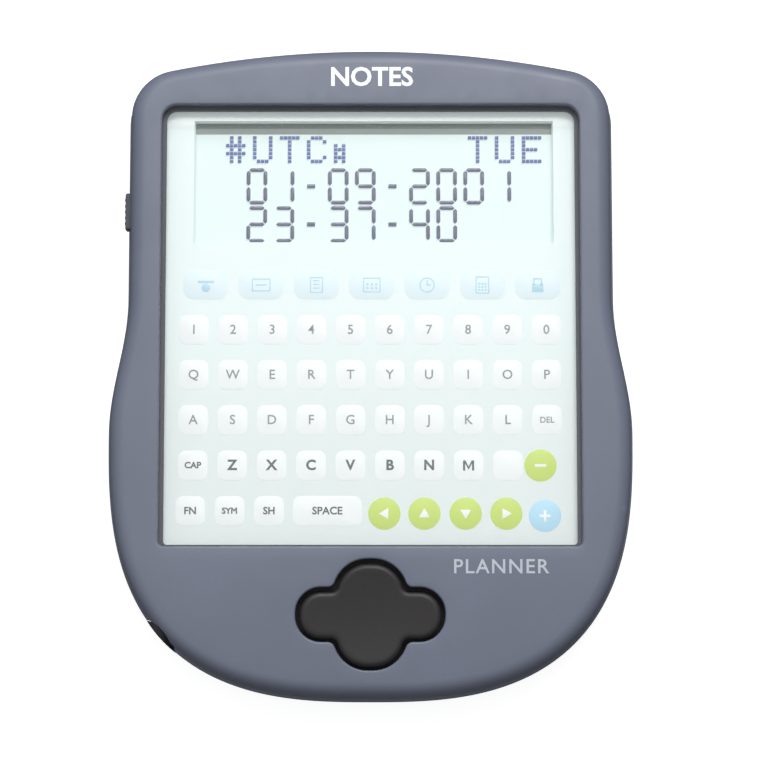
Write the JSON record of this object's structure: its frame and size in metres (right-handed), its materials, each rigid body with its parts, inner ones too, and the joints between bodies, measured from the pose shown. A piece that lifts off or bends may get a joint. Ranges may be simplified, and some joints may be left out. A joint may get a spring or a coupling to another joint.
{
  "type": "pocket organiser",
  "caption": "Pocket touch-panel organiser with a reflective display, printed touch keyboard, four-way rocker pad, side button and a stylus stowed in the rear shell.",
  "frame": {"origin": "centre of the flat back face, on the surface the case lies on", "axes": "+X right, +Y towards the top of the case, +Z out of the display"},
  "size_m": [0.0838, 0.1043, 0.0157],
  "materials": {
    "case_plastic": "fine moulded texture, blue-grey",
    "rear_plastic": "fine moulded texture, blue-grey",
    "lid_plastic": "fine moulded texture, blue-grey",
    "pad_plastic": "satin, near black",
    "inner_plastic": "plain black moulding",
    "ivory_plastic": "plain moulding",
    "black_foam": "closed-cell foam",
    "clear_film": "clear hard-coated film",
    "clear_glass": "clear",
    "flex_circuit": "copper traces under film",
    "printed_sheet": "printed, pale green-grey",
    "key_print_white": "screen print",
    "key_print_lime": "screen print",
    "key_print_blue": "screen print",
    "key_print_ink": "screen print",
    "mark_print": "screen print",
    "lcd_face": "grey-green reflective display",
    "lcd_ink": "dark display segments",
    "reflector_foil": "satin",
    "strip_rubber": "striped conductive rubber",
    "board_green": "solder mask",
    "black_epoxy": "cast blob",
    "tan_ceramic": "small parts",
    "plain_steel": "plain",
    "cell_steel": "plain",
    "contact_brass": "plain",
    "blue_sleeve": "shrunk sleeve",
    "white_ceramic": "fired, silvered",
    "silicone": "satin",
    "carbon_rubber": "matte",
    "stylus_plastic": "satin",
    "stylus_tip_plastic": "matte",
    "stylus_head_plastic": "satin",
    "label_film": "blank silver film"
  },
  "bodies": {
    "case": {"front_housing": "case_plastic", "rear_housing": "rear_plastic", "panel_gasket": "black_foam", "touch_film": "clear_film", "touch_glass": "clear_glass", "touch_tail": "flex_circuit", "touch_connector": "ivory_plastic", "key_sheet": "printed_sheet", "display_frame": "ivory_plastic", "lcd_polarizer": "lcd_face", "lcd_top_glass": "clear_glass", "lcd_bottom_glass": "clear_glass", "lcd_reflector": "reflector_foil", "lcd_connector_strips": "strip_rubber", "main_board": "board_green", "chip_covers": "black_epoxy", "board_parts": "tan_ceramic", "crystal_can": "plain_steel", "buffer_capacitor": "blue_sleeve", "nav_membrane": "silicone", "nav_contact_pills": "carbon_rubber", "side_switch": "plain_steel", "reset_switch": "plain_steel", "buzzer_plate": "contact_brass", "buzzer_ceramic": "white_ceramic", "buzzer_springs": "plain_steel", "main_cell": "cell_steel", "backup_cell": "cell_steel", "cell_centre_springs": "contact_brass", "cell_side_contacts": "contact_brass", "housing_screws": "plain_steel", "board_screws": "plain_steel", "back_label": "label_film"},
    "nav_pivot": {"nav_pivot": "inner_plastic"},
    "nav_pad": {"nav_pad": "pad_plastic"},
    "side_button": {"side_button": "pad_plastic", "side_switch_plunger": "inner_plastic"},
    "reset_plunger": {"reset_plunger": "inner_plastic"},
    "main_battery_lid": {"main_battery_lid": "lid_plastic"},
    "backup_battery_lid": {"backup_battery_lid": "lid_plastic"},
    "stylus": {"stylus_barrel": "stylus_plastic", "stylus_tip": "stylus_tip_plastic", "stylus_head": "stylus_head_plastic"}
  },
  "joints": [
    {"name": "pad_up_down", "type": "hinge", "parent": "case", "child": "nav_pivot", "pos_m": [0, -0.0382, 0.0098], "axis": [1, 0, 0], "range_deg": [-3.5, 3.5], "stiffness_Nm_per_rad": 0.2, "deforming": ["nav_membrane", "nav_contact_pills"]},
    {"name": "pad_left_right", "type": "hinge", "parent": "nav_pivot", "child": "nav_pad", "pos_m": [0, -0.0382, 0.0098], "axis": [0, 1, 0], "range_deg": [-3.5, 3.5], "stiffness_Nm_per_rad": 0.2, "deforming": ["nav_membrane", "nav_contact_pills"]},
    {"name": "side_button_press", "type": "slide", "parent": "case", "child": "side_button", "axis": [1, 0, 0], "range_m": [0, 0.0004], "stiffness_N_per_m": 2500},
    {"name": "reset_press", "type": "slide", "parent": "case", "child": "reset_plunger", "axis": [0, 0, 1], "range_m": [0, 0.00035], "stiffness_N_per_m": 1500},
    {"name": "stylus_pull", "type": "slide", "parent": "case", "child": "stylus", "axis": [0, -1, 0], "range_m": [0, 0.075]},
    {"name": "main_lid_turn", "type": "hinge", "parent": "case", "child": "main_battery_lid", "pos_m": [-0.013, -0.012, 0], "axis": [0, 0, -1], "range_deg": [0, 45]},
    {"name": "backup_lid_turn", "type": "hinge", "parent": "case", "child": "backup_battery_lid", "pos_m": [0.0156, -0.012, 0], "axis": [0, 0, -1], "range_deg": [0, 45]}
  ]
}
